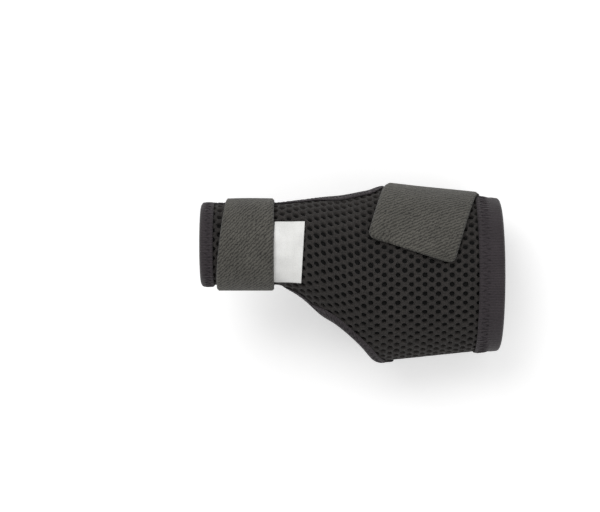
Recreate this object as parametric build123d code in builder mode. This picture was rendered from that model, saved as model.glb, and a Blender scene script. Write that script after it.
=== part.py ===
"""Wrist and thumb splint: a soft spacer-mesh cuff with a thumb sleeve, a malleable stay
and two hook-fastened straps.

Frame: the origin is the centre of the wrist opening, at its rim.  +X runs out of the
opening along the forearm, +Y to the thumb side of the wrist and +Z to the palm side.
The splint lies on the flat back of its cuff.  Sizes are millimetres and degrees.

Around the limb an angle of 0 is the thumb side (+Y), 90 the palm side (+Z), 180 the
little-finger side (-Y).  Layers are counted outwards from the skin surface.
"""

import os
from math import cos, degrees, radians, sin, tan

from build123d import *

# ---- limb form, at the skin side of the lining -----------------------------------
cuff_length = 53.0  # rim to the start of the hand opening
rim_half_breadth = 29.5  # wrist opening, half its thumb to little-finger size
rim_half_depth = 20.5  # wrist opening, centre to the palm side
hand_half_breadth = 35.0  # the same two at the cuff's hand end
hand_half_depth = 23.5
back_depth = 23.0  # centre to the flat back of the cuff
back_flat_start = -14.0  # the flat back runs between these two Y values
back_flat_end = 16.0
back_reach = 15.0  # how far the back runs past the cuff towards the hand
splint_length = 133.0  # rim to the tip of the thumb sleeve
sleeve_length = 32.0  # straight part of the thumb sleeve
thumb_half_breadth = 13.2
thumb_half_depth = 10.4
thumb_centre_y = 13.4
thumb_centre_z = 28.0

# ---- layers -----------------------------------------------------------------------
lining_thickness = 1.2
mesh_thickness = 3.2
binding_thickness = 0.7
strap_thickness = 1.6
hook_thickness = 0.6
label_thickness = 0.3
layer_gap = 0.1  # between sewn layers
body_gap = 0.3  # between pieces that move apart

# ---- edges of the palm panel --------------------------------------------------------
# thumb-side edge: (x, angle round the limb)
web_edge = [(-133, -20), (-101, -18), (-86, -4), (-71, 10), (-60, 9), (-51, -14), (-43, -38), (0, -40)]
sleeve_lap = 70.0  # how far round the back the sleeve wraps past its widest point
sleeve_lap_end = -90.0
# hand-side edge as seen from the palm side
palm_edge = [(-104, -15), (-90, -12.5), (-81, -15), (-68, -24.6), (-57.5, -35.4), (-51.5, -44)]
edge_tape_width = 5.0
rim_tape_width = 11.0

# ---- straps -------------------------------------------------------------------------
thumb_strap_width = 25.0
thumb_strap_setback = 6.5  # sleeve tip to the strap's edge
thumb_strap_start = 172.0  # angles: the sewn end, the two bends and the free end
thumb_swing_angle = 15.0
thumb_peel_angle = -60.0
thumb_tip_angle = -165.0
wrist_strap_width = 40.0
wrist_strap_slant = 29.0  # from square across the cuff, at its free end
wrist_strap_reach = 28.0  # crown line to the free end, seen from the palm side
wrist_strap_crown_x = -28.0  # where its middle crosses the thumb side
wrist_peel_angle = 46.0
strap_corner = 4.0
strap_level_z = -12.0  # below this the wrist strap runs square across the cuff
root_sewn_length = 12.0
root_inner = 1.5  # layer at which the strap is sewn into the back
hook_margin = 4.0  # hook patch in from the strap's edges
hook_inset_angle = 3.0  # the thumb strap's hook patch in from its free end

# ---- label and stay -----------------------------------------------------------------
label_width = 13.0
label_length = 27.0
label_middle_y = 10.0
stay_width = 12.0
stay_thickness = 1.0
stay_length = 104.0
stay_slant = 6.0
stay_tip_margin = 14.0  # stay end to the sleeve tip

# ---- derived ------------------------------------------------------------------------
mesh_inner = lining_thickness + layer_gap
mesh_outer = mesh_inner + mesh_thickness
tape_outer = mesh_outer + layer_gap + binding_thickness
tape_margin = layer_gap + binding_thickness
strap_inner = tape_outer + body_gap
strap_outer = strap_inner + strap_thickness
hook_inner = strap_inner - layer_gap - hook_thickness
tip_x = -splint_length
sleeve_end = tip_x + sleeve_length
hand_end = -cuff_length
past = 2.0  # how far raw shells run past the ends that are trimmed
tall = 90.0  # half the height of the trimming prisms
hinge_angle = degrees(body_gap / 2 / hand_half_depth)
thumb_strap_x = tip_x + thumb_strap_setback
root_end_y = back_flat_end + tape_margin + body_gap
transition_steps = 7


def blend(share, low, high):
    """The value a share of the way from low to high."""
    return low + (high - low) * share


def smooth(share):
    """An even start and stop between 0 and 1."""
    return share * share * (3 - 2 * share)


def form(x):
    """Centre y and z, half breadth and half depth of the skin surface at x."""
    if x <= sleeve_end:
        return thumb_centre_y, thumb_centre_z, thumb_half_breadth, thumb_half_depth
    if x < hand_end:
        share = (x - sleeve_end) / (hand_end - sleeve_end)
        high = blend(share**1.3, thumb_centre_y + thumb_half_breadth, hand_half_breadth)
        low = blend(smooth(share), thumb_centre_y - thumb_half_breadth, -hand_half_breadth)
        depth = blend(smooth(share), thumb_half_depth, hand_half_depth)
        return (high + low) / 2, blend(smooth(share), thumb_centre_z, 0.0), (high - low) / 2, depth
    share = (x - hand_end) / cuff_length
    depth = blend(share, hand_half_depth, rim_half_depth)
    return 0.0, 0.0, blend(share, hand_half_breadth, rim_half_breadth), depth


def web_angle(x):
    """Angle of the thumb-side edge at x, smooth between the points of web_edge."""
    for (x0, a0), (x1, a1) in zip(web_edge, web_edge[1:]):
        if x <= x1:
            return blend(smooth(max(0.0, (x - x0) / (x1 - x0))), a0, a1)
    return web_edge[-1][1]


def palm_angle(x):
    """Angle of the other edge: far round the sleeve, at the little-finger side on the cuff."""
    share = min(1.0, max(0.0, (x - sleeve_end) / (sleeve_lap_end - sleeve_end)))
    return blend(smooth(share), 180 + sleeve_lap, 180 - hinge_angle)


def across(x):
    """A plane square to the limb at x, its axes along Y and Z."""
    return Plane(origin=(x, 0, 0), x_dir=(0, 1, 0), z_dir=(1, 0, 0))


def turn(x, distance):
    """The angle that a distance round the limb covers at x."""
    return degrees(distance / (form(x)[3] + mesh_outer))


def point(x, angle, layer):
    """The point at x, at an angle round the limb, a layer out from the skin."""
    y, z, breadth, depth = form(x)
    return Vector(
        x,
        y + (breadth + layer) * cos(radians(angle)),
        z + (depth + layer) * sin(radians(angle)),
    )


def band(x, inner, outer, start, end):
    """Curved band of the limb form at x, between two layers and two angles."""
    y, z, breadth, depth = form(x)
    with BuildSketch(across(x)) as sketch:
        with BuildLine():
            size = end - start
            outside = EllipticalCenterArc((y, z), breadth + outer, depth + outer, start, arc_size=size)
            inside = EllipticalCenterArc((y, z), breadth + inner, depth + inner, start, arc_size=size)
            Line(outside @ 0, inside @ 0)
            Line(outside @ 1, inside @ 1)
        make_face()
    return sketch.sketch


def back_band(x, inner, outer, end_y):
    """Section of the back: a quarter round from the little-finger side, then flat to end_y."""
    breadth = form(max(x, hand_end))[2] + back_flat_start
    start = 180 + hinge_angle
    with BuildSketch(across(x)) as sketch:
        with BuildLine():
            middle = (back_flat_start, 0)
            size = 270 - start
            outside = EllipticalCenterArc(middle, breadth + outer, back_depth + outer, start, arc_size=size)
            inside = EllipticalCenterArc(middle, breadth + inner, back_depth + inner, start, arc_size=size)
            Line(outside @ 0, inside @ 0)
            Polyline(outside @ 1, (end_y, -back_depth - outer), (end_y, -back_depth - inner), inside @ 1)
        make_face()
    return sketch.sketch


palm_stations = [tip_x - past, sleeve_end]
for step in range(1, transition_steps + 1):
    palm_stations.append(blend(step / transition_steps, sleeve_end, hand_end))
palm_stations += [web_edge[-3][0] + 3, web_edge[-2][0], past]


def limb_shell(inner, outer, start, end, stations=tuple(palm_stations)):
    """Raw shell on the limb form, between two angles given as functions of x."""
    with BuildPart() as made:
        sections = [band(x, inner, outer, start(x), end(x)) for x in stations]
        loft(sections, ruled=True)
    return made.part


def block(low, high):
    """Box between two opposite corners."""
    with BuildPart() as made:
        with Locations(tuple((low[axis] + high[axis]) / 2 for axis in range(3))):
            Box(*[high[axis] - low[axis] for axis in range(3)])
    return made.part


def lengthwise(low, high):
    """Everything between two x values."""
    return block((low, -2 * tall, -2 * tall), (high, 2 * tall, 2 * tall))


def palm_notch(grow):
    """Prism of the hand opening beside the palm panel, moved into the panel by grow."""
    with BuildPart() as made:
        with BuildSketch(Plane.XY.offset(-tall)):
            with BuildLine():
                edge = Spline(*palm_edge)
                corner_x = palm_edge[0][0] - rim_tape_width
                Polyline(
                    edge @ 1, (palm_edge[-1][0], -tall), (corner_x, -tall),
                    (corner_x, palm_edge[0][1]), edge @ 0,
                )  # fmt: skip
            make_face()
        extrude(amount=2 * tall)
    return Pos(0.6 * grow, grow, 0) * made.part


def palm_layer(inner, outer, inset=0.0, rim_inset=None):
    """A layer of the palm panel, its free edges taken in by inset (out, if negative)."""
    rim_inset = inset if rim_inset is None else rim_inset

    def start(x):
        return web_angle(x) + turn(x, inset)

    def end(x):
        return palm_angle(x) - (turn(x, inset) if x < sleeve_lap_end else 0.0)

    with BuildPart() as made:
        add(limb_shell(inner, outer, start, end))
        add(lengthwise(tip_x + inset, -rim_inset), mode=Mode.INTERSECT)
        add(palm_notch(inset), mode=Mode.SUBTRACT)
    return made.part


def back_outline(inset, rim_inset):
    """Prism of the back as seen from below: its hand edge bulges past the cuff."""
    with BuildPart() as made:
        with BuildSketch(Plane.XY.offset(-tall)):
            with BuildLine():
                side_y = -hand_half_breadth - tape_outer - past
                end_y = back_flat_end - inset
                edge = Spline(
                    (hand_end + past + inset, side_y),
                    (hand_end - 0.85 * back_reach + inset, back_flat_start + inset),
                    (hand_end - 0.4 * back_reach + inset, end_y),
                )
                Polyline(edge @ 1, (-rim_inset, end_y), (-rim_inset, side_y), edge @ 0)
            make_face()
        extrude(amount=2 * tall)
    return made.part


def back_layer(inner, outer, inset=0.0, rim_inset=None):
    """A layer of the back, its free edges taken in by inset (out, if negative)."""
    rim_inset = inset if rim_inset is None else rim_inset
    with BuildPart() as made:
        stations = (hand_end - back_reach - past, hand_end, past)
        loft([back_band(x, inner, outer, back_flat_end + past) for x in stations], ruled=True)
        add(back_outline(inset, rim_inset), mode=Mode.INTERSECT)
    return made.part


def binding(layer_of):
    """Folded tape round the free edges of a panel, whole, from the panel's layer function."""
    with BuildPart() as made:
        add(layer_of(-tape_margin, tape_outer, -tape_margin))
        add(layer_of(-layer_gap, mesh_outer + layer_gap, -layer_gap), mode=Mode.SUBTRACT)
        field = layer_of(-2 * tape_margin, tape_outer + tape_margin, edge_tape_width, rim_tape_width)
        add(field, mode=Mode.SUBTRACT)
    return made.part


def fixed_angle(angle):
    """An edge at the same angle all along the limb."""
    return lambda x: angle


def save(made, name, color):
    """Write one piece to its own file."""
    made.part.label = name
    made.part.color = Color(color)
    export_step(made.part, f"parts/{name}.step")
    print(name, round(made.part.volume), len(made.part.solids()), made.part.is_valid)


os.makedirs("parts", exist_ok=True)

# ---- stay: a bendable strip in a pocket of the palm panel ----------------------------


def stay_prism(margin):
    """Upright prism of the stay's outline, grown by margin."""
    with BuildPart() as made:
        with BuildSketch():
            middle_x = tip_x + stay_tip_margin + stay_length / 2
            with Locations(Location((middle_x, thumb_centre_y / 2, 0), (0, 0, -stay_slant))):
                RectangleRounded(stay_length + 2 * margin, stay_width + 2 * margin, stay_width / 2.5)
        extrude(amount=tall)
    return made.part


stay_inner = mesh_inner + layer_gap
with BuildPart() as thumb_stay:
    add(limb_shell(stay_inner, stay_inner + stay_thickness, fixed_angle(20), fixed_angle(160)))
    add(stay_prism(0), mode=Mode.INTERSECT)
save(thumb_stay, "thumb_stay", 0xB9BCC0)

# ---- palm panel -----------------------------------------------------------------------
with BuildPart() as palm_mesh:
    add(palm_layer(mesh_inner, mesh_outer))
    with BuildPart(mode=Mode.PRIVATE) as stay_recess:
        recess_outer = stay_inner + stay_thickness + layer_gap
        add(limb_shell(lining_thickness, recess_outer, fixed_angle(20), fixed_angle(160)))
        add(stay_prism(2 * layer_gap), mode=Mode.INTERSECT)
    add(stay_recess.part, mode=Mode.SUBTRACT)
save(palm_mesh, "palm_mesh", 0x343130)

with BuildPart() as palm_lining:
    add(palm_layer(0, lining_thickness))
save(palm_lining, "palm_lining", 0x2A2828)

palm_binding = binding(palm_layer)
with BuildPart() as thumb_end_binding:
    add(palm_binding)
    add(lengthwise(tip_x - past, tip_x + edge_tape_width), mode=Mode.INTERSECT)
save(thumb_end_binding, "thumb_end_binding", 0x3A3338)

with BuildPart() as palm_rim_binding:
    add(palm_binding)
    add(lengthwise(-rim_tape_width, past), mode=Mode.INTERSECT)
save(palm_rim_binding, "palm_rim_binding", 0x3A3338)

sleeve_split_x = sleeve_lap_end - 2.0
with BuildPart() as sleeve_edge_binding:
    add(palm_binding)
    low = (tip_x + edge_tape_width + layer_gap, -tall, -tall)
    add(block(low, (sleeve_split_x, thumb_centre_y, tall)), mode=Mode.INTERSECT)
save(sleeve_edge_binding, "sleeve_edge_binding", 0x3A3338)

with BuildPart() as palm_edge_binding:
    add(palm_binding)
    low = (sleeve_split_x + layer_gap, -tall, -tall)
    add(block(low, (-rim_tape_width - layer_gap, thumb_centre_y, tall)), mode=Mode.INTERSECT)
save(palm_edge_binding, "palm_edge_binding", 0x3A3338)

with BuildPart() as web_edge_binding:
    add(palm_binding)
    low = (tip_x + edge_tape_width + layer_gap, thumb_centre_y + layer_gap, -tall)
    add(block(low, (-rim_tape_width - layer_gap, tall, tall)), mode=Mode.INTERSECT)
save(web_edge_binding, "web_edge_binding", 0x3A3338)

# ---- back -------------------------------------------------------------------------------
root_x = wrist_strap_crown_x
root_z = -back_depth - root_inner
root_low = (root_x - wrist_strap_width / 2, back_flat_end - root_sewn_length, root_z - strap_thickness)
root_high = (root_x + wrist_strap_width / 2, root_end_y, root_z)
with BuildPart() as wrist_strap_root:
    add(block(root_low, root_high))
save(wrist_strap_root, "wrist_strap_root", 0x4F4E49)

root_slot = block(
    [value - layer_gap for value in root_low],
    [value + layer_gap for value in root_high],
)
with BuildPart() as back_mesh:
    add(back_layer(mesh_inner, mesh_outer))
    add(root_slot, mode=Mode.SUBTRACT)
save(back_mesh, "back_mesh", 0x343130)

with BuildPart() as back_lining:
    add(back_layer(0, lining_thickness))
save(back_lining, "back_lining", 0x2A2828)

back_binding = binding(back_layer)
with BuildPart() as back_rim_binding:
    add(back_binding)
    add(lengthwise(-rim_tape_width, past), mode=Mode.INTERSECT)
    add(root_slot, mode=Mode.SUBTRACT)
save(back_rim_binding, "back_rim_binding", 0x3A3338)
with BuildPart() as back_edge_binding:
    add(back_binding)
    add(lengthwise(hand_end - 2 * back_reach, -rim_tape_width - layer_gap), mode=Mode.INTERSECT)
    add(root_slot, mode=Mode.SUBTRACT)
save(back_edge_binding, "back_edge_binding", 0x3A3338)

# ---- label ------------------------------------------------------------------------------
label_inner = mesh_outer + layer_gap
label_x = thumb_strap_x + thumb_strap_width + layer_gap
with BuildPart() as label:
    add(limb_shell(label_inner, label_inner + label_thickness, fixed_angle(20), fixed_angle(170)))
    low = (label_x, label_middle_y - label_length / 2, 0)
    high = (label_x + label_width, label_middle_y + label_length / 2, tall)
    add(block(low, high), mode=Mode.INTERSECT)
save(label, "label", 0xF2F2EE)

# ---- thumb strap --------------------------------------------------------------------------


def thumb_strap_piece(inner, outer, start, end, margin=0.0):
    """A stretch of the thumb strap between two angles."""
    stations = (thumb_strap_x + margin, thumb_strap_x + thumb_strap_width - margin)
    return limb_shell(inner, outer, fixed_angle(start), fixed_angle(end), stations)


bend_gap = degrees(body_gap / 2 / (thumb_half_depth + strap_inner))
with BuildPart() as thumb_strap_front:
    add(thumb_strap_piece(strap_inner, strap_outer, thumb_swing_angle + bend_gap, thumb_strap_start))
save(thumb_strap_front, "thumb_strap_front", 0x4F4E49)
with BuildPart() as thumb_strap_tail:
    low = thumb_peel_angle + bend_gap
    add(thumb_strap_piece(strap_inner, strap_outer, low, thumb_swing_angle - bend_gap))
save(thumb_strap_tail, "thumb_strap_tail", 0x4F4E49)
with BuildPart() as thumb_strap_tip:
    add(thumb_strap_piece(strap_inner, strap_outer, thumb_tip_angle, thumb_peel_angle - bend_gap))
save(thumb_strap_tip, "thumb_strap_tip", 0x4F4E49)
with BuildPart() as thumb_strap_hook:
    edge_angle = degrees(edge_tape_width / thumb_half_depth)
    hook_end = sleeve_lap - 180 - edge_angle
    hook_outer = strap_inner - layer_gap
    add(thumb_strap_piece(hook_inner, hook_outer, thumb_tip_angle + hook_inset_angle, hook_end, strap_corner / 2))
save(thumb_strap_hook, "thumb_strap_hook", 0x1F1F20)

# ---- wrist strap ----------------------------------------------------------------------------
wrist_stations = tuple(x for x in palm_stations if x > hand_end - 3 * strap_corner)
wrist_bend_gap = degrees(body_gap / 2 / (rim_half_depth + strap_inner))
strap_half = wrist_strap_width / 2
slant = radians(wrist_strap_slant)


def wrist_strap_middle_x(y):
    """Middle of the strap on the palm side at y."""
    return wrist_strap_crown_x - (hand_half_breadth + strap_corner - y) * tan(slant)


def tip_prism(margin):
    """Upright prism of the strap's free end, seen from the palm side, taken in by margin."""
    length = 2 * wrist_strap_reach
    with BuildPart() as made:
        with BuildSketch(Plane.XY):
            crown = (wrist_strap_crown_x, hand_half_breadth + strap_corner, 0)
            with Locations(Location(crown, (0, 0, -wrist_strap_slant))):
                RectangleRounded(wrist_strap_width - 2 * margin, length - 2 * margin, strap_corner)
        extrude(amount=tall)
    return made.part


with BuildPart() as wrist_strap_band:
    add(limb_shell(strap_inner, strap_outer, fixed_angle(-68), fixed_angle(wrist_peel_angle - wrist_bend_gap),
                   wrist_stations))
    with BuildPart(mode=Mode.PRIVATE) as band_outline:
        with BuildSketch(Plane.XZ.offset(-root_end_y - body_gap)):
            peel = point(wrist_strap_crown_x, wrist_peel_angle, strap_outer)
            peel_x = wrist_strap_middle_x(peel.Y)
            half = strap_half / cos(slant)
            with BuildLine():
                Polyline(
                    (root_x - strap_half, -tall), (root_x - strap_half, strap_level_z), (peel_x - half, peel.Z),
                    (peel_x - half, tall), (peel_x + half, tall), (peel_x + half, peel.Z),
                    (root_x + strap_half, strap_level_z), (root_x + strap_half, -tall), close=True,
                )  # fmt: skip
            make_face()
        extrude(amount=-tall)
    add(band_outline.part, mode=Mode.INTERSECT)
save(wrist_strap_band, "wrist_strap_band", 0x4F4E49)

with BuildPart() as wrist_strap_tip:
    add(limb_shell(strap_inner, strap_outer, fixed_angle(wrist_peel_angle + wrist_bend_gap), fixed_angle(140),
                   wrist_stations))
    add(tip_prism(0), mode=Mode.INTERSECT)
save(wrist_strap_tip, "wrist_strap_tip", 0x4F4E49)

with BuildPart() as wrist_strap_hook:
    add(limb_shell(hook_inner, strap_inner - layer_gap, fixed_angle(wrist_peel_angle + 2 * hook_inset_angle), fixed_angle(140),
                   wrist_stations))
    add(tip_prism(hook_margin), mode=Mode.INTERSECT)
save(wrist_strap_hook, "wrist_strap_hook", 0x1F1F20)
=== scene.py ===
"""Wrist and thumb splint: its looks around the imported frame.

Every surface is worked out in millimetres on the splint's own limb form and written in
metres.  +X runs out of the wrist opening, +Y to the thumb side, +Z to the palm side.
Around the limb 0 degrees is the thumb side and 90 the palm side; layers count outwards
from the skin.
"""

from math import cos, sin

import bpy
import numpy as np
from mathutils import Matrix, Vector


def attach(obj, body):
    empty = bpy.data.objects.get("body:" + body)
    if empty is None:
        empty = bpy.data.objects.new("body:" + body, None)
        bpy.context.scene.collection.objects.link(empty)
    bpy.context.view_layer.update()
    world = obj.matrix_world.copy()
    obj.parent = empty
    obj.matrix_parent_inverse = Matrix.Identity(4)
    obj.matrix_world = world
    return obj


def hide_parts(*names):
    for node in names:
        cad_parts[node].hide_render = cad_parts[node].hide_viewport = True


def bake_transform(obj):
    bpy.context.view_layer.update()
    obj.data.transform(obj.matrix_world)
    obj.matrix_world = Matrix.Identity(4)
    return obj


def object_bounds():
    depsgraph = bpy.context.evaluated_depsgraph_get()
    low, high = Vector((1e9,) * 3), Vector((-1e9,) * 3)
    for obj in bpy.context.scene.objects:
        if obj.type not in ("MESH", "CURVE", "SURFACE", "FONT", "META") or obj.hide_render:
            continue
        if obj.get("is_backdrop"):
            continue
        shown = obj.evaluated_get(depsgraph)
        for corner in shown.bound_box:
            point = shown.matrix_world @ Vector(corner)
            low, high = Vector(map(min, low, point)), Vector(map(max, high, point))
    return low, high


bl_info = {
    "name": "Wrist Splint Maker",
    "version": (1, 0, 0),
    "blender": (4, 5, 0),
    "location": "View3D > Sidebar > Splint",
    "description": "Makes the fabric, bindings and straps of a wrist and thumb splint",
    "category": "Add Mesh",
}

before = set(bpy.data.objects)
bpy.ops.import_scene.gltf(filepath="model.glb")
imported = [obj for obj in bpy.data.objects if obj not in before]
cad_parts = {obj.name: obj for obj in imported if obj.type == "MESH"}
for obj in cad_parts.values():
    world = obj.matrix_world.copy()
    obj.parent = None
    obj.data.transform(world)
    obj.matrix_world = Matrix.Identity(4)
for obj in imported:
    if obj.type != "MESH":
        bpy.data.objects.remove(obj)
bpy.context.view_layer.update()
MM = 0.001

# Stage, in metres and watts: the camera looks straight down on the palm side.
FLOOR_GAP = 0.0001
FLOOR_HALF = 3.0
FLOOR_LIFT = 0.34
STUDIO_LIGHT = 0.48
SOFTBOXES = [((-0.35, 0.45, 0.75), 0.5, 3.2), ((0.45, -0.3, 0.7), 0.6, 1.2)]  # place, width, power
LAMP_AIM = (-0.06, 0.0, 0.0)
CAMERA_PLACE = (-0.0902, 0.0084, 0.761)
CAMERA_LENS = 100


# ---- limb form ----------------------------------------------------------------------------


def mix(share, low, high):
    """Low at a share of 0 and high at 1, straight between them."""
    return low + (high - low) * share


def smooth(share):
    """An even start and stop: 3 s^2 - 2 s^3, held at 0 and 1 outside."""
    share = np.clip(share, 0.0, 1.0)
    return share * share * (3 - 2 * share)


def limb_form(x):
    """Centre y and z, half breadth and half depth of the skin surface at x.

    The sleeve is a constant ellipse.  Its high and low sides run to the cuff's on a power
    of 1.3 and on the smooth step, and the cuff narrows straight to the rim.
    """
    s = bpy.context.scene.splint_sizes
    share = np.clip((x - s.sleeve_end) / (s.hand_end - s.sleeve_end), 0.0, 1.0)
    high = mix(share**1.3, s.thumb_y + s.thumb_breadth, s.hand_breadth)
    low = mix(smooth(share), s.thumb_y - s.thumb_breadth, -s.hand_breadth)
    cuff = np.clip((x - s.hand_end) / -s.hand_end, 0.0, 1.0)
    breadth = (high - low) / 2 - cuff * (s.hand_breadth - s.rim_breadth)
    depth = mix(smooth(share), s.thumb_depth, s.hand_depth) - cuff * (s.hand_depth - s.rim_depth)
    return (high + low) / 2, mix(smooth(share), s.thumb_z, 0.0), breadth, depth


def limb(x, angle, layer):
    """Point on the limb form: an ellipse at x, read at an angle, a layer out from the skin."""
    y, z, breadth, depth = limb_form(x)
    turn = np.radians(angle)
    points = (x + 0 * turn, y + (breadth + layer) * np.cos(turn), z + (depth + layer) * np.sin(turn))
    return np.stack(np.broadcast_arrays(*points), -1)


def back(x, angle, layer):
    """Point on the back: a quarter round from 180 to 270, then flat, 1 mm for each degree more."""
    s = bpy.context.scene.splint_sizes
    breadth = limb_form(np.maximum(x, s.hand_end))[2] + s.back_flat_start
    turn = np.radians(np.minimum(angle, 270.0))
    flat = np.maximum(angle - 270.0, 0.0)
    y = s.back_flat_start + (breadth + layer) * np.cos(turn) + flat
    z = (s.back_depth + layer) * np.sin(turn)
    return np.stack(np.broadcast_arrays(x + 0 * turn, y, z), -1)


def stretch(surface, x, angle, layer=4.5):
    """Millimetres round the surface for each degree, from two points half a degree apart."""
    gap = surface(x, angle + 0.25, layer) - surface(x, angle - 0.25, layer)
    return np.linalg.norm(gap, axis=-1) / 0.5


def through(points, x):
    """Smooth curve through a few points: cubic between them, with slopes from their neighbours."""
    px, py = np.array(points, float).T
    slope = np.gradient(py, px)
    x = np.clip(x, px[0], px[-1])
    at = np.clip(np.searchsorted(px, x) - 1, 0, len(px) - 2)
    width = px[at + 1] - px[at]
    t = (x - px[at]) / width
    low = (2 * t**3 - 3 * t**2 + 1) * py[at] + (t**3 - 2 * t**2 + t) * width * slope[at]
    return low + (3 * t**2 - 2 * t**3) * py[at + 1] + (t**3 - t**2) * width * slope[at + 1]


# Thumb-side edge as (x, angle), and hand-side edge as (x, y) seen from the palm side.
WEB_EDGE = [(-133, -20), (-101, -18), (-86, -4), (-71, 10), (-60, 9), (-51, -14), (-43, -38), (0, -40)]
PALM_EDGE = [(-104, -15), (-90, -12.5), (-81, -15), (-68, -24.6), (-57.5, -35.4), (-51.5, -44)]
PALM_EDGE_END = PALM_EDGE[-1][0]
SLEEVE_LAP_END = -90.0
# Angles: the palm panel's seam, then the back's start, the start of its corner and its end.
SEAM_ANGLE = 179.7
BACK_START = 180.3
BACK_CORNER = 296.0
BACK_END = 300.0
# Layers, in millimetres out from the skin.
MESH_OUTER = 4.5
TAPE_OUTER = 5.3
TAPE_INNER = -0.8
STRAP_INNER = 5.6
STRAP_OUTER = 7.2
# Widths of the folded tape and of the wide tape at the wrist opening.
TAPE_WIDTH = 5.0
RIM_TAPE_WIDTH = 11.0
TABLE_STEP = 0.5


def web_angle(x):
    """Thumb-side edge: smooth steps between the points of WEB_EDGE."""
    px, angles = np.array(WEB_EDGE, float).T
    at = np.clip(np.searchsorted(px, x) - 1, 0, len(px) - 2)
    share = smooth((x - px[at]) / (px[at + 1] - px[at]))
    return mix(share, angles[at], angles[at + 1])


def raw_palm_angle(x):
    """Other edge: past the widest point on the sleeve, then along PALM_EDGE, then the seam."""
    s = bpy.context.scene.splint_sizes
    lap = mix(smooth((x - s.sleeve_end) / (SLEEVE_LAP_END - s.sleeve_end)), 180 + s.sleeve_lap, SEAM_ANGLE)
    y, _, breadth, _ = limb_form(x)
    edge = through(PALM_EDGE, x)
    reach = np.clip((edge - y) / (breadth + 2.0), -1.0, 1.0)
    cut = np.degrees(np.arccos(reach))
    return np.where((x > -88.0) & (x < PALM_EDGE_END), np.minimum(lap, cut), lap)


def palm_angle(x):
    """The raw edge averaged over a few millimetres with a bell curve, which rounds its corners."""
    step, samples, spread = 0.25, 32, 3.2
    table = np.arange(-140.0, 8.0, step)
    weight = np.exp(-((np.arange(-samples, samples + 1) * step / spread) ** 2))
    padded = np.pad(raw_palm_angle(table), samples, mode="edge")
    return np.interp(x, table, np.convolve(padded, weight / weight.sum(), "valid"))


def back_hand_edge(angle):
    """x of the back's hand edge at an angle: it bulges towards the hand in the flat part."""
    y = back(np.full(np.shape(angle), -50.0), angle, MESH_OUTER)[..., 1]
    s = bpy.context.scene.splint_sizes
    points = [(-41.8, s.hand_end + 2), (s.back_flat_start, s.hand_end - 12.75), (16.0, s.hand_end - 6)]
    return through(points, y)


# ---- meshes ---------------------------------------------------------------------------------


def make_object(name, points, faces, material, body, node=None, uv=None):
    """A mesh object in metres at the origin from points in millimetres, riding on a body."""
    mesh = bpy.data.meshes.new(name)
    faces = faces if isinstance(faces, list) else faces.tolist()
    mesh.from_pydata((np.asarray(points).reshape(-1, 3) * MM).tolist(), [], faces)
    mesh.materials.append(material)
    mesh.polygons.foreach_set("use_smooth", np.full(len(mesh.polygons), True))
    if uv is not None:
        layer = mesh.uv_layers.new(name="cloth")
        index = np.empty(len(mesh.loops), int)
        mesh.loops.foreach_get("vertex_index", index)
        layer.data.foreach_set("uv", np.asarray(uv, float).reshape(-1, 2)[index].ravel())
    mesh.update()
    piece = bpy.data.objects.new(name, mesh)
    bpy.context.scene.collection.objects.link(piece)
    if body:
        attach(piece, body)
    if node:
        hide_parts(node)
    return piece


def grid_faces(rows, columns, closed=False):
    """Quads of a grid of rows by columns; closed joins the last column to the first."""
    row, column = np.meshgrid(np.arange(rows - 1), np.arange(columns - (not closed)), indexing="ij")
    after = (column + 1) % columns
    corners = (row * columns + column, row * columns + after)
    upper = ((row + 1) * columns + after, (row + 1) * columns + column)
    return np.stack([*corners, *upper], -1).reshape(-1, 4)


def slab(surface, x, angle, inner, outer):
    """Closed sheet between two layers: both grids and a wall round their border."""
    rows, columns = x.shape
    low = surface(x, angle, inner)
    high = surface(x, angle, outer)
    points = np.concatenate([high.reshape(-1, 3), low.reshape(-1, 3)])
    count = rows * columns
    face = grid_faces(rows, columns)
    index = np.arange(count).reshape(rows, columns)
    border = np.concatenate([index[0], index[1:, -1], index[-1, -2::-1], index[-2:0:-1, 0]])
    following = np.roll(border, -1)
    wall = np.stack([border, border + count, following + count, following], -1)
    faces = np.concatenate([face, face[:, ::-1] + count, wall])
    direction = (high - low).reshape(-1, 3)
    corners = points[face]
    normal = np.cross(corners[:, 2] - corners[:, 0], corners[:, 3] - corners[:, 1])
    if np.sum(normal * direction[face].mean(1)) < 0:
        faces = faces[:, ::-1]
    return points, faces


def arc_table(surface, low_x, high_x, low_angle, high_angle, zero_angle):
    """Angle for each x and each distance round the surface, as a regular table."""
    xs = np.arange(low_x - 3, high_x + 3.5, TABLE_STEP)
    angles = np.arange(low_angle, high_angle + 1.0, 1.0)
    grid_x, grid_a = np.meshgrid(xs, angles, indexing="ij")
    steps = stretch(surface, grid_x, grid_a)
    length = np.cumsum(steps, 1)
    length -= np.stack([np.interp(zero_angle, angles, row) for row in length])[:, None]
    distances = np.arange(-110.0, 111.0, TABLE_STEP)
    table = np.stack([np.interp(distances, row, angles) for row in length])
    return xs, distances, table


def look_up(table, x, distance):
    """Angle at x and a distance round, bilinear in the table."""
    xs, distances, values = table
    fx = np.clip((x - xs[0]) / TABLE_STEP, 0, len(xs) - 1.001)
    fd = np.clip((distance - distances[0]) / TABLE_STEP, 0, len(distances) - 1.001)
    ix, jd = fx.astype(int), fd.astype(int)
    tx, td = fx - ix, fd - jd
    low = mix(td, values[ix, jd], values[ix, jd + 1])
    return mix(tx, low, mix(td, values[ix + 1, jd], values[ix + 1, jd + 1]))


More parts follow.
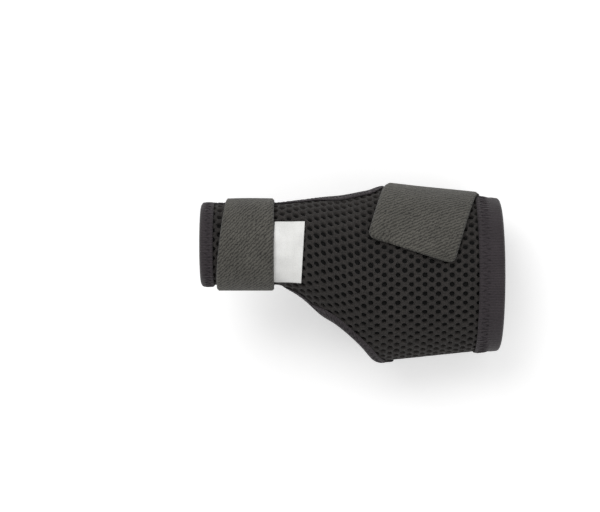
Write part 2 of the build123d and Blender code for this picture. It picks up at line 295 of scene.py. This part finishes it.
def hole_lattice(surface, table, low_x, high_x, inside, low_angle, high_angle):
    """Knitted face with staggered holes: each cell is a ring of quads round a sunken hole.

    Columns stand one pitch apart along x and every other one is moved half a pitch round
    the limb.  A cell's border has points each quarter pitch, so neighbours share them.
    """
    s = bpy.context.scene.splint_sizes
    pitch_x, pitch_s = s.hole_pitch_along, s.hole_pitch_round
    columns = np.arange(low_x, high_x, pitch_x)
    rows = np.arange(-26, 27) * pitch_s
    x, distance = np.meshgrid(columns, rows, indexing="ij")
    distance = distance + (np.arange(len(columns)) % 2)[:, None] * pitch_s / 2
    x, distance = x.ravel(), distance.ravel()
    keep = inside(x, look_up(table, x, distance))
    x, distance = x[keep], distance[keep]
    quarter = np.array([-2, -1, 0, 1, 2]) / 4
    border_x = np.concatenate([np.full(5, 0.5), [0.0], np.full(5, -0.5), [0.0]])
    border_s = np.concatenate([quarter, [0.5], quarter[::-1], [-0.5]])
    turn = np.arctan2(border_s * pitch_s, border_x * pitch_x)
    round_x, round_s = np.cos(turn) * s.hole_along / 2, np.sin(turn) * s.hole_round / 2
    rng = np.random.default_rng(7)
    wobble = 1 + rng.normal(0, 0.05, (len(x), 1))
    rings = [
        (border_x * pitch_x, border_s * pitch_s, 0.0, 0),
        (mix(0.55, border_x * pitch_x, round_x), mix(0.55, border_s * pitch_s, round_s), 0.16, 0),
        (round_x, round_s, -0.05, 1),
        (round_x * 0.88, round_s * 0.88, -0.6, 1),
        (round_x * 0.8, round_s * 0.8, -1.35, 1),
    ]
    layers = []
    for ring_x, ring_s, rise, scaled in rings:
        size = wobble if scaled else 1.0
        px = x[:, None] + ring_x * size
        ps = distance[:, None] + ring_s * size
        angle = np.minimum(look_up(table, px, ps), high_angle(px))
        angle = np.maximum(angle, low_angle)
        layers.append(surface(px, angle, MESH_OUTER - 0.16 + rise))
    points = np.stack(layers, 1)
    face = grid_faces(len(rings), 12, closed=True)
    faces = (face[None] + (np.arange(len(x)) * len(rings) * 12)[:, None, None]).reshape(-1, 4)
    flat = points.reshape(-1, 3)
    corners = flat[face]
    outward = surface(x[:1], look_up(table, x[:1], distance[:1]), 9.0) - surface(
        x[:1], look_up(table, x[:1], distance[:1]), 4.0
    )
    normal = np.cross(corners[:12, 2] - corners[:12, 0], corners[:12, 3] - corners[:12, 1]).sum(0)
    if np.dot(normal, outward[0]) < 0:
        faces = faces[:, ::-1]
    return flat, faces


def inward(surface, x, angle, side):
    """Unit step into the panel from its edge, as millimetres in x and degrees."""
    scale = stretch(surface, x, angle)
    along_x, along_s = np.gradient(x), np.gradient(angle) * scale
    length = np.hypot(along_x, along_s) + 1e-9
    return -side * along_s / length, side * along_x / length / scale


def distance_along(surface, x, angle, layer):
    """Millimetres from the path's start to each of its points."""
    line = surface(x, angle, layer)
    return np.concatenate([[0], np.cumsum(np.linalg.norm(np.diff(line, axis=0), axis=1))])


def even(surface, x, angle, step=0.35):
    """The same path with its points an even step apart along the surface."""
    run = distance_along(surface, x, angle, MESH_OUTER)
    at = np.linspace(0, run[-1], int(run[-1] / step))
    return np.interp(at, run, x), np.interp(at, run, angle)


def back_path():
    """The back's free edge: its hand edge, a corner on a quadratic curve, then its end."""
    angle = np.linspace(BACK_START, BACK_CORNER, 260)
    corner_x = back_hand_edge(np.array([BACK_CORNER, BACK_END]))
    corner_drop = 4.0
    t = np.linspace(0, 1, 24)[1:]
    round_x = (1 - t) ** 2 * corner_x[0] + 2 * t * (1 - t) * corner_x[1] + t**2 * (corner_x[1] + corner_drop)
    round_angle = (1 - t) ** 2 * BACK_CORNER + (2 * t * (1 - t) + t**2) * BACK_END
    end_x = np.linspace(corner_x[1] + 4.2, 0.0, 150)
    x = np.concatenate([back_hand_edge(angle), round_x, end_x])
    return even(back, x, np.concatenate([angle, round_angle, np.full(150, BACK_END)]))


def edge_tape(surface, x, angle, side, width, ribs, rib_from=0.0):
    """Folded tape: a closed U section carried along an edge, its outer skin ribbed.

    The section's points are (distance into the panel, layer).  Ribs are a sine along the
    edge, strongest in the middle of the tape.
    """
    fold_start, fold_bulge, wall = 0.7, 1.5, 0.6
    rib_height = 0.16
    skin = np.linspace(width, fold_start, 9)
    fold = np.radians(np.linspace(90, 270, 9))
    middle = (TAPE_OUTER + TAPE_INNER) / 2
    half = (TAPE_OUTER - TAPE_INNER) / 2
    section = [(u, TAPE_OUTER) for u in skin]
    section += [(fold_start + fold_bulge * cos(a), middle + half * sin(a)) for a in fold[1:-1]]
    section += [(u, TAPE_INNER) for u in skin[::-1]]
    section += [(width, TAPE_INNER + wall), (0.5, TAPE_INNER + wall)]
    section += [(0.5, TAPE_OUTER - wall), (width, TAPE_OUTER - wall)]
    section = np.array(section)
    step_x, step_a = inward(surface, x, angle, side)
    run = distance_along(surface, x, angle, MESH_OUTER)
    depth = np.zeros(len(section))
    count = len(skin)
    inner_share = np.sin(np.pi * np.linspace(0.05, 1, count)) ** 0.5
    ribbed = section[:count, 0] >= rib_from
    depth[:count] = np.where(ribbed, inner_share, 0.15)
    wave = np.sin(2 * np.pi * run / ribs)[:, None] * depth * rib_height
    dip = -0.35 * np.exp(-(((section[:, 0] - rib_from) / 0.5) ** 2)) * (rib_from > 0)
    dip[count:] = 0.0
    edge_dip = np.zeros(len(section))
    edge_dip[0] = -0.3
    px = x[:, None] + section[:, 0] * step_x[:, None]
    pa = angle[:, None] + section[:, 0] * step_a[:, None]
    points = surface(px, pa, section[:, 1] + wave + dip + edge_dip)
    faces = grid_faces(len(x), len(section), closed=True)
    size = len(section)
    ends = np.arange(size)
    caps = [ends.tolist(), (ends[::-1] + (len(x) - 1) * size).tolist()]
    corners = points.reshape(-1, 3)[faces]
    normal = np.cross(corners[:, 2] - corners[:, 0], corners[:, 3] - corners[:, 1])
    volume = np.sum(normal * corners.mean(1))
    faces = faces.tolist()
    if volume < 0:
        faces = [face[::-1] for face in faces]
        caps = [cap[::-1] for cap in caps]
    uv = np.stack(np.broadcast_arrays(run[:, None], np.arange(size)[None] * 0.6), -1)
    return points, faces + [cap[::-1] for cap in caps], uv


def zigzag(surface, x, angle, side, low, high, pitch):
    """Thread laid in a zigzag beside an edge: a fine four-sided tube along a triangle wave."""
    run = distance_along(surface, x, angle, MESH_OUTER)
    count = max(4, int(run[-1] / pitch * 8))
    at = np.linspace(0, run[-1], count)
    px, pa = np.interp(at, run, x), np.interp(at, run, angle)
    step_x, step_a = inward(surface, px, pa, side)
    wave = np.abs((at / pitch) % 1.0 - 0.5) * 2
    u = mix(wave, low, high)
    centre_x, centre_a = px + u * step_x, pa + u * step_a
    thick = 0.24
    sides = [(-thick, 0.0), (0.0, thick), (thick, 0.0), (0.0, -thick)]
    rings = []
    for offset, rise in sides:
        rings.append(surface(centre_x + offset, centre_a, TAPE_OUTER - 0.05 + rise))
    points = np.stack(rings, 1)
    faces = grid_faces(count, 4, closed=True)
    return points, faces


def carried_strap(surface, x, angle, half_width, lean, end_round, inner, outer, wave=0.0):
    """Flat strap with rounded edges along a centre line of x and angle.

    The section is a flat oval; its points are stepped square to the line on the surface.
    Near the free end the width drops on a quarter circle, which rounds the corners.
    """
    edge_share = 0.04
    across = np.linspace(-1, 1, 33)
    past_flat = np.clip((np.abs(across) - (1 - edge_share)) / edge_share, 0, 1)
    edge = np.sqrt(np.clip(1 - past_flat**2, 0, 1))
    middle, half = (inner + outer) / 2, (outer - inner) / 2
    v = np.concatenate([across, across[::-1][1:-1]])
    layer = np.concatenate([middle + half * edge, (middle - half * edge)[::-1][1:-1]])
    step_x, step_a = inward(surface, x, angle, 1)
    run = distance_along(surface, x, angle, outer)
    left = run[-1] - run
    width = np.ones_like(run) * half_width
    if end_round:
        corner = np.clip(1 - left / end_round, 0, 1)
        width = half_width - end_round * (1 - np.sqrt(1 - corner**2))
    px = x[:, None] + v * width[:, None] * step_x[:, None]
    px = px + np.reshape(lean, (-1, 1)) * np.clip(-v, 0, 1)
    pa = angle[:, None] + v * width[:, None] * step_a[:, None]
    ripple = wave * np.sin(run[:, None] / 5.3 + v * 2.2) * np.sin(run[:, None] / 11.0)
    points = surface(px, pa, layer + ripple)
    faces = grid_faces(len(x), len(v), closed=True).tolist()
    size = len(v)
    cap = np.arange(size)
    caps = [cap.tolist(), (cap[::-1] + (len(x) - 1) * size).tolist()]
    corners = points.reshape(-1, 3)[np.array(faces)]
    normal = np.cross(corners[:, 2] - corners[:, 0], corners[:, 3] - corners[:, 1])
    outward = (points - points.mean(1, keepdims=True)).reshape(-1, 3)[np.array(faces)].mean(1)
    if np.sum(normal * outward) < 0:
        faces = [face[::-1] for face in faces]
    else:
        caps = [one[::-1] for one in caps]
    uv = np.stack(np.broadcast_arrays(run[:, None], v * half_width), -1)
    return points, faces + caps, uv


# ---- materials --------------------------------------------------------------------------------


MATERIAL_NAMES = {
    "mesh": "knitted polyester spacer mesh",
    "ground": "spacer mesh core yarn in painted shade",
    "lining": "brushed polyester lining",
    "tape": "ribbed nylon binding tape",
    "strap": "loop-faced nylon strap",
    "hook": "moulded nylon hook tape",
    "satin": "woven polyester satin",
    "thread": "spun polyester thread",
}
TWILL_TURN = 0.785  # radians
WAVE_REPEAT = 0.314  # a band texture's repeat at a scale of 1


def colour(value):
    """Linear colour from an sRGB hex string."""
    parts = [int(value[i : i + 2], 16) / 255 for i in (0, 2, 4)]
    return [p / 12.92 if p <= 0.04045 else ((p + 0.055) / 1.055) ** 2.4 for p in parts] + [1.0]


def add_node(tree, kind, settings=None, **inputs):
    """Add a node, set its properties and its inputs, which may be values or sockets.

    An input is given by its name, or as i0, i1 and so on by its place.
    """
    node = tree.nodes.new(kind)
    for key, value in (settings or {}).items():
        setattr(node, key, value)
    for key, value in inputs.items():
        by_place = key[0] == "i" and key[1:].isdigit()
        socket = node.inputs[int(key[1:]) if by_place else key.replace("_", " ")]
        if isinstance(value, bpy.types.NodeSocket):
            tree.links.new(value, socket)
        else:
            socket.default_value = value
    return node


def cloth_material(name, low, high, grain_mm, rough, bump, sheen=0.0, ribs_mm=0.0, twill_mm=0.0):
    """Fabric: two tones mixed by a fine grain, with bump from the grain and from its ribs."""
    material = bpy.data.materials.new(name)
    material.use_nodes = True
    tree = material.node_tree
    shader = tree.nodes["Principled BSDF"]
    shader.inputs["Roughness"].default_value = rough
    shader.inputs["Sheen Weight"].default_value = sheen
    shader.inputs["Sheen Roughness"].default_value = 0.5
    shader.inputs["Specular IOR Level"].default_value = 0.3
    place = add_node(tree, "ShaderNodeTexCoord")
    grain = add_node(tree, "ShaderNodeTexNoise", None, Vector=place.outputs["Object"], Scale=1000 / grain_mm,
                     Detail=3.0, Roughness=0.7)
    cloud = add_node(tree, "ShaderNodeTexNoise", None, Vector=place.outputs["Object"], Scale=90.0, Detail=2.0)
    height = grain.outputs["Fac"]
    if ribs_mm or twill_mm:
        uv = add_node(tree, "ShaderNodeUVMap", {"uv_map": "cloth"})
        turn = TWILL_TURN if twill_mm else 0.0
        turned = add_node(tree, "ShaderNodeMapping", None, Vector=uv.outputs["UV"], Rotation=(0, 0, turn))
        wave = add_node(tree, "ShaderNodeTexWave", {"wave_type": "BANDS", "bands_direction": "X"},
                        Vector=turned.outputs["Vector"], Scale=WAVE_REPEAT / (ribs_mm or twill_mm),
                        Distortion=5.0 if twill_mm else 1.0, Detail=2.0, Detail_Scale=3.0)
        both = add_node(tree, "ShaderNodeMath", {"operation": "MULTIPLY_ADD"},
                        i0=wave.outputs["Fac"], i1=0.55, i2=height)
        height = both.outputs["Value"]
    ramp = add_node(tree, "ShaderNodeMapRange", None, Value=height, From_Min=0.35, From_Max=0.95)
    tone = add_node(tree, "ShaderNodeMix", {"data_type": "RGBA"}, Factor=ramp.outputs["Result"])
    tone.inputs[6].default_value = colour(low)
    tone.inputs[7].default_value = colour(high)
    shade = add_node(tree, "ShaderNodeMapRange", None, Value=cloud.outputs["Fac"], From_Min=0.3, From_Max=0.7,
                     To_Min=0.88, To_Max=1.12)
    final = add_node(tree, "ShaderNodeVectorMath", {"operation": "SCALE"}, Vector=tone.outputs[2],
                     Scale=shade.outputs["Result"])
    tree.links.new(final.outputs["Vector"], shader.inputs["Base Color"])
    relief = add_node(tree, "ShaderNodeBump", None, Height=height, Strength=0.8, Distance=bump * MM)
    tree.links.new(relief.outputs["Normal"], shader.inputs["Normal"])
    return material


def materials():
    """The splint's fabrics, made once."""
    if MATERIAL_NAMES["mesh"] in bpy.data.materials:
        return {key: bpy.data.materials[name] for key, name in MATERIAL_NAMES.items()}
    # Polyester spacer mesh: matt charcoal yarn, knitted round open holes.
    cloth_material(MATERIAL_NAMES["mesh"], "1d1b1a", "4a4542", 0.6, 0.75, 0.25, sheen=0.1)
    # Spacer yarns down in the holes: the same polyester, coloured near-black as painted shade in the holes.
    cloth_material(MATERIAL_NAMES["ground"], "060606", "161515", 0.8, 0.9, 0.2)
    # Brushed lining knit.
    cloth_material(MATERIAL_NAMES["lining"], "1a1919", "302e2e", 1.2, 0.9, 0.3, sheen=0.2)
    # Ribbed nylon binding tape: purple-black with a low sheen.
    cloth_material(MATERIAL_NAMES["tape"], "171416", "3c3539", 0.5, 0.65, 0.2, sheen=0.15, ribs_mm=0.7)
    # Loop-faced strap: dense short loops, dark olive grey, with a faint diagonal set.
    cloth_material(MATERIAL_NAMES["strap"], "282725", "5e5c56", 0.8, 0.9, 0.4, sheen=0.15, twill_mm=1.3)
    # Moulded hook tape: stiff nylon hooks.
    cloth_material(MATERIAL_NAMES["hook"], "121213", "2c2c2e", 0.5, 0.5, 0.5)
    # Woven satin: bright, smooth and a little glossy.
    cloth_material(MATERIAL_NAMES["satin"], "dcdcd8", "fbfbf9", 0.4, 0.35, 0.03, ribs_mm=0.5)
    # Spun polyester thread.
    cloth_material(MATERIAL_NAMES["thread"], "1b181b", "4a4248", 0.3, 0.6, 0.1)
    return {key: bpy.data.materials[name] for key, name in MATERIAL_NAMES.items()}


# ---- pieces -------------------------------------------------------------------------------------


class SplintSizes(bpy.types.PropertyGroup):
    """Sizes that a maker would change, in millimetres and degrees."""

    sleeve_tip: bpy.props.FloatProperty(
        name="Sleeve tip", description="x of the thumb sleeve's end, mm", default=-133.0
    )
    sleeve_end: bpy.props.FloatProperty(
        name="Sleeve end", description="x where the straight sleeve ends, mm", default=-101.0
    )
    hand_end: bpy.props.FloatProperty(
        name="Hand end", description="x of the cuff's hand end, mm", default=-53.0
    )
    thumb_y: bpy.props.FloatProperty(
        name="Thumb centre y", description="Sleeve centre, mm", default=13.4
    )
    thumb_z: bpy.props.FloatProperty(
        name="Thumb centre z", description="Sleeve centre, mm", default=28.0
    )
    thumb_breadth: bpy.props.FloatProperty(
        name="Thumb half breadth", description="Sleeve, mm", default=13.2
    )
    thumb_depth: bpy.props.FloatProperty(
        name="Thumb half depth", description="Sleeve, mm", default=10.4
    )
    hand_breadth: bpy.props.FloatProperty(
        name="Hand half breadth", description="Cuff's hand end, mm", default=35.0
    )
    hand_depth: bpy.props.FloatProperty(
        name="Hand half depth", description="Cuff's hand end, mm", default=23.5
    )
    rim_breadth: bpy.props.FloatProperty(
        name="Rim half breadth", description="Wrist opening, mm", default=29.5
    )
    rim_depth: bpy.props.FloatProperty(
        name="Rim half depth", description="Wrist opening, mm", default=20.5
    )
    back_depth: bpy.props.FloatProperty(
        name="Back depth", description="Centre to the flat back, mm", default=23.0
    )
    back_flat_start: bpy.props.FloatProperty(
        name="Flat start", description="y where the flat back starts, mm", default=-14.0
    )
    sleeve_lap: bpy.props.FloatProperty(
        name="Sleeve lap", description="Degrees that the sleeve wraps round", default=70.0
    )
    hole_pitch_along: bpy.props.FloatProperty(
        name="Hole pitch along", description="Between columns, mm", default=3.0
    )
    hole_pitch_round: bpy.props.FloatProperty(
        name="Hole pitch round", description="In a column, mm", default=4.25
    )
    hole_along: bpy.props.FloatProperty(
        name="Hole length", description="Along the splint, mm", default=2.75
    )
    hole_round: bpy.props.FloatProperty(
        name="Hole height", description="Round the limb, mm", default=2.6
    )


def palm_grid(margin):
    """Grid of x and angle over the palm panel, its edges taken in by margin millimetres."""
    sleeve_tip = bpy.context.scene.splint_sizes.sleeve_tip
    sleeve = np.linspace(sleeve_tip + margin, -88, 46)
    hand = np.linspace(-87.5, -51.6, 73)
    cuff = np.linspace(-51, -margin, 50)
    x = np.concatenate([sleeve, hand, cuff])
    degree = 0.42  # millimetres round the panel, roughly
    low, high = web_angle(x) + margin / degree, palm_angle(x) - margin / degree * (x < PALM_EDGE_END)
    share = np.linspace(0, 1, 121)
    angle = mix(share[None], low[:, None], high[:, None])
    return np.broadcast_to(x[:, None], angle.shape), angle


def back_grid(margin):
    """Grid of x and angle over the back, its free edges taken in by margin millimetres."""
    angle = np.linspace(BACK_START, BACK_END - margin, 90)
    low = back_hand_edge(angle) + margin
    share = np.linspace(0, 1, 60)
    x = mix(share[:, None], low[None], -margin)
    return x, np.broadcast_to(angle[None], x.shape)


class SPLINT_OT_palm_panel(bpy.types.Operator):
    """Spacer-mesh palm panel with its core and lining."""

    bl_idname = "splint.palm_panel"
    bl_label = "Palm Panel"

    def execute(self, context):
        looks = materials()
        x, angle = palm_grid(0.6)
        points, faces = slab(limb, x, angle, 1.3, 3.1)
        # The core's near-black colour is painted shade, seen through the holes.
        core = make_object("palm_core", points, faces, looks["ground"], "splint_body")
        points, faces = slab(limb, x, angle, 0.0, 1.2)
        make_object("palm_lining_cloth", points, faces, looks["lining"], "splint_body", "palm_lining")
        table = arc_table(limb, -133, 0, -60, 260, 90)

        def seam_limit(px):
            return np.where(px < -60, 400.0, SEAM_ANGLE)

        def inside(px, pa):
            near = 2.3 / np.maximum(stretch(limb, px, pa), 0.1)
            fits = (pa > web_angle(px) + near) & (px > -131) & (px < -3)
            edge = np.where(px < PALM_EDGE_END, near, -0.9 * near)
            return fits & (pa < palm_angle(px) - edge)

        points, faces = hole_lattice(limb, table, -131, -1, inside, -60, seam_limit)
        make_object("palm_mesh_face", points, faces, looks["mesh"], "splint_body", "palm_mesh")
        return {"FINISHED"}


class SPLINT_OT_back_panel(bpy.types.Operator):
    """Spacer-mesh back with its core and lining."""

    bl_idname = "splint.back_panel"
    bl_label = "Back Panel"

    def execute(self, context):
        looks = materials()
        x, angle = back_grid(0.6)
        points, faces = slab(back, x, angle, 1.3, 3.1)
        # The core's near-black colour is painted shade, seen through the holes.
        core = make_object("back_core", points, faces, looks["ground"], "splint_body")
        points, faces = slab(back, x, angle, 0.0, 1.2)
        make_object("back_lining_cloth", points, faces, looks["lining"], "splint_body", "back_lining")
        table = arc_table(back, -70, 0, 170, 310, 270)

        def inside(px, pa):
            near = 2.3 / np.maximum(stretch(back, px, pa), 0.1)
            fits = (px > back_hand_edge(pa) + 2.5) & (px < -3)
            return fits & (pa > BACK_START - 0.9 * near) & (pa < BACK_END - 2.5)

        def end_limit(px):
            return np.full(np.shape(px), BACK_END)

        points, faces = hole_lattice(back, table, -67, -1, inside, BACK_START, end_limit)
        make_object("back_mesh_face", points, faces, looks["mesh"], "splint_body", "back_mesh")
        return {"FINISHED"}


class SPLINT_OT_bindings(bpy.types.Operator):
    """Folded tape round every free edge, with its zigzag stitching."""

    bl_idname = "splint.bindings"
    bl_label = "Bindings"

    def execute(self, context):
        looks = materials()
        tip = context.scene.splint_sizes.sleeve_tip
        web_x = np.linspace(-132.6, 0, 420)
        palm_x = np.linspace(-132.6, -51.8, 300)
        sleeve_turn = np.linspace(-20, 250, 260)
        palm_rim_turn = np.linspace(-40, SEAM_ANGLE, 360)
        back_rim_turn = np.linspace(BACK_START, BACK_END, 260)
        back_x, back_turn = back_path()
        # name, surface, x, angle, side of the panel, width, rib spacing, where ribs start, nodes
        edges = [
            ("web_edge_tape", limb, web_x, web_angle(web_x), 1, TAPE_WIDTH, 1.3, 0.0,
             ["web_edge_binding"]),
            ("palm_edge_tape", limb, palm_x, palm_angle(palm_x), -1, TAPE_WIDTH, 1.3, 0.0,
             ["palm_edge_binding", "sleeve_edge_binding"]),
            ("thumb_end_tape", limb, np.full(260, tip), sleeve_turn, -1, 5.2, 1.6, 0.0,
             ["thumb_end_binding"]),
            ("wrist_rim_tape", limb, np.full(360, 0.0), palm_rim_turn, 1, RIM_TAPE_WIDTH, 1.6, 5.0,
             ["palm_rim_binding"]),
            ("back_rim_tape", back, np.full(260, 0.0), back_rim_turn, 1, RIM_TAPE_WIDTH, 1.6, 5.0,
             ["back_rim_binding"]),
            ("back_edge_tape", back, back_x, back_turn, -1, TAPE_WIDTH, 1.3, 0.0,
             ["back_edge_binding"]),
        ]
        for name, surface, x, angle, side, width, ribs, rib_from, nodes in edges:
            points, faces, uv = edge_tape(surface, x, angle, side, width, ribs, rib_from)
            piece = make_object(name, points, faces, looks["tape"], "splint_body", uv=uv)
            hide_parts(*nodes)
            low, high = (1.6, 4.0) if width < RIM_TAPE_WIDTH else (6.0, 9.6)
            points, faces = zigzag(surface, x, angle, side, low, high, 2.4)
            make_object(name.replace("tape", "stitches"), points, faces, looks["thread"], "splint_body")
        return {"FINISHED"}


class SPLINT_OT_label(bpy.types.Operator):
    """Blank woven satin label sewn in beside the thumb strap."""

    bl_idname = "splint.label"
    bl_label = "Label"

    def execute(self, context):
        looks = materials()
        along, across = np.meshgrid(np.linspace(0, 1, 30), np.linspace(0, 1, 50), indexing="ij")
        slant = 1.6
        y = mix(across, -3.2, 23.3)
        x = mix(along, -102.0, -88.9) + slant * (across - 0.5)
        centre, _, breadth, _ = limb_form(x)
        angle = np.degrees(np.arccos(np.clip((y - centre) / (breadth + 5.0), -1, 1)))

        def curled(px, pa, layer):
            rise = 0.35 * smooth((px + 95) / 7.0) + 0.12 * np.sin(pa / 9.0)
            return limb(px, pa, layer + rise)

        points, faces = slab(curled, x, angle, 4.75, 5.0)
        uv = np.tile(np.stack([x, y], -1).reshape(-1, 2), (2, 1))
        make_object("blank_label", points, faces, looks["satin"], "splint_body", "label",
                    uv)
        return {"FINISHED"}


class SPLINT_OT_thumb_strap(bpy.types.Operator):
    """Thumb strap: a sewn front, and a tail that closes round the back of the sleeve."""

    bl_idname = "splint.thumb_strap"
    bl_label = "Thumb Strap"

    def execute(self, context):
        looks = materials()
        middle, half_width = -114.0, 12.5
        front = np.linspace(172, -20, 220)
        lean = 4.0 * smooth((150 - front) / 150)
        points, faces, uv = carried_strap(limb, np.full(220, middle), front, half_width, lean, 0.0,
                                          STRAP_INNER, STRAP_OUTER, 0.12)
        piece = make_object("thumb_strap_front_cloth", points, faces, looks["strap"], None, None,
                            uv)
        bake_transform(piece)
        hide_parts("thumb_strap_front")
        tail = np.linspace(-20, -165, 160)
        lean = 4.0 * smooth((tail + 160) / 140)
        points, faces, uv = carried_strap(limb, np.full(160, middle), tail, half_width, lean, 3.0,
                                          STRAP_INNER, STRAP_OUTER, 0.0)
        piece = make_object("thumb_strap_tail_cloth", points, faces, looks["strap"], None, None,
                            uv)
        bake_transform(piece)
        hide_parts("thumb_strap_tail", "thumb_strap_tip")
        return {"FINISHED"}


class SPLINT_OT_wrist_strap(bpy.types.Operator):
    """Wrist strap: sewn into the back, round the thumb side and down on the palm side."""

    bl_idname = "splint.wrist_strap"
    bl_label = "Wrist Strap"

    def execute(self, context):
        looks = materials()
        # Its middle runs square across the cuff and then leans towards the hand.
        square_x, lean_reach = -27.0, 14.5
        angle = np.linspace(-66, 74, 260)
        lean = np.clip((angle + 25) / 99, 0, 1)
        x = square_x - lean_reach * lean**1.35
        points, faces, uv = carried_strap(limb, x, angle, 20.0, 0.0, 3.5, STRAP_INNER, STRAP_OUTER, 0.12)
        piece = make_object("wrist_strap_cloth", points, faces, looks["strap"], None, None,
                            uv)
        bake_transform(piece)
        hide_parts("wrist_strap_band", "wrist_strap_tip")
        return {"FINISHED"}


class SPLINT_OT_finish_nodes(bpy.types.Operator):
    """Finishes of the pieces that keep their frame shape."""

    bl_idname = "splint.finish_nodes"
    bl_label = "Frame Finishes"

    def execute(self, context):
        looks = materials()
        strip = bpy.data.materials.new("rolled aluminium strip")
        strip.use_nodes = True
        shader = strip.node_tree.nodes["Principled BSDF"]
        shader.inputs["Metallic"].default_value = 1.0
        shader.inputs["Roughness"].default_value = 0.4
        shader.inputs["Base Color"].default_value = colour("b9bcc0")
        finishes = {
            "thumb_stay": strip,
            "wrist_strap_root": looks["strap"],
            "thumb_strap_hook": looks["hook"],
            "wrist_strap_hook": looks["hook"],
        }
        for name, material in finishes.items():
            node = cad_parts[name]
            for slot in node.material_slots:
                slot.material = material
        return {"FINISHED"}


class SPLINT_OT_stage(bpy.types.Operator):
    """Pale floor, soft studio light and the camera."""

    bl_idname = "splint.stage"
    bl_label = "Stage"

    def execute(self, context):
        floor_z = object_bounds()[0][2] - FLOOR_GAP
        mesh = bpy.data.meshes.new("floor")
        corners = [(x * FLOOR_HALF, y * FLOOR_HALF, floor_z) for x, y in ((-1, -1), (1, -1), (1, 1), (-1, 1))]
        mesh.from_pydata(corners, [], [(0, 1, 2, 3)])
        floor = bpy.data.objects.new("floor", mesh)
        context.scene.collection.objects.link(floor)
        material = bpy.data.materials.new("matt white paper")
        material.use_nodes = True
        tree = material.node_tree
        shader = tree.nodes["Principled BSDF"]
        shader.inputs["Base Color"].default_value = colour("fdfdfd")
        shader.inputs["Roughness"].default_value = 0.9
        # Seen straight on, the paper is lifted to white; its shadows stay.
        path = add_node(tree, "ShaderNodeLightPath")
        lift = add_node(tree, "ShaderNodeMath", {"operation": "MULTIPLY"},
                        i0=path.outputs["Is Camera Ray"], i1=FLOOR_LIFT)
        shader.inputs["Emission Color"].default_value = (1, 1, 1, 1)
        tree.links.new(lift.outputs["Value"], shader.inputs["Emission Strength"])
        mesh.materials.append(material)
        floor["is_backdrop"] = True
        world = bpy.data.worlds.new("studio")
        context.scene.world = world
        world.use_nodes = True
        world.node_tree.nodes["Background"].inputs["Color"].default_value = (1, 1, 1, 1)
        world.node_tree.nodes["Background"].inputs["Strength"].default_value = STUDIO_LIGHT
        for index, (place, width, power) in enumerate(SOFTBOXES):
            light = bpy.data.lights.new(f"softbox_{index}", "AREA")
            light.energy = power
            light.size = width
            lamp = bpy.data.objects.new(f"softbox_{index}", light)
            lamp.location = place
            lamp.rotation_euler = direction_to_euler(np.array(LAMP_AIM) - np.array(place))
            context.scene.collection.objects.link(lamp)
        camera_data = bpy.data.cameras.new("camera")
        camera_data.lens = CAMERA_LENS
        camera_data.sensor_width = 36
        camera = bpy.data.objects.new("camera", camera_data)
        camera.location = CAMERA_PLACE
        context.scene.collection.objects.link(camera)
        context.scene.camera = camera
        context.scene.view_settings.view_transform = "Standard"
        return {"FINISHED"}


def direction_to_euler(direction):
    """Turn that points an object's -Z along a direction."""
    return Vector(direction).to_track_quat("-Z", "Y").to_euler()


class SPLINT_PT_panel(bpy.types.Panel):
    """Lists the splint's sizes and the steps that make it."""

    bl_idname = "SPLINT_PT_panel"
    bl_label = "Wrist Splint"
    bl_space_type = "VIEW_3D"
    bl_region_type = "UI"
    bl_category = "Splint"

    def draw(self, context):
        sizes = context.scene.splint_sizes
        for name in SplintSizes.__annotations__:
            self.layout.prop(sizes, name)
        for maker in MAKERS:
            self.layout.operator(maker.bl_idname)


MAKERS = (
    SPLINT_OT_palm_panel,
    SPLINT_OT_back_panel,
    SPLINT_OT_bindings,
    SPLINT_OT_label,
    SPLINT_OT_thumb_strap,
    SPLINT_OT_wrist_strap,
    SPLINT_OT_finish_nodes,
    SPLINT_OT_stage,
)
CLASSES = (SplintSizes, *MAKERS, SPLINT_PT_panel)


def register():
    """Register every class and hang the sizes on the scene."""
    for one in CLASSES:
        bpy.utils.register_class(one)
    bpy.types.Scene.splint_sizes = bpy.props.PointerProperty(type=SplintSizes)


def unregister():
    """Take the sizes and classes away again."""
    del bpy.types.Scene.splint_sizes
    for one in reversed(CLASSES):
        bpy.utils.unregister_class(one)


def main():
    """Make every piece in order."""
    register()
    for maker in MAKERS:
        group, step = maker.bl_idname.split(".")
        getattr(getattr(bpy.ops, group), step)()


if __name__ == "__main__":
    main()
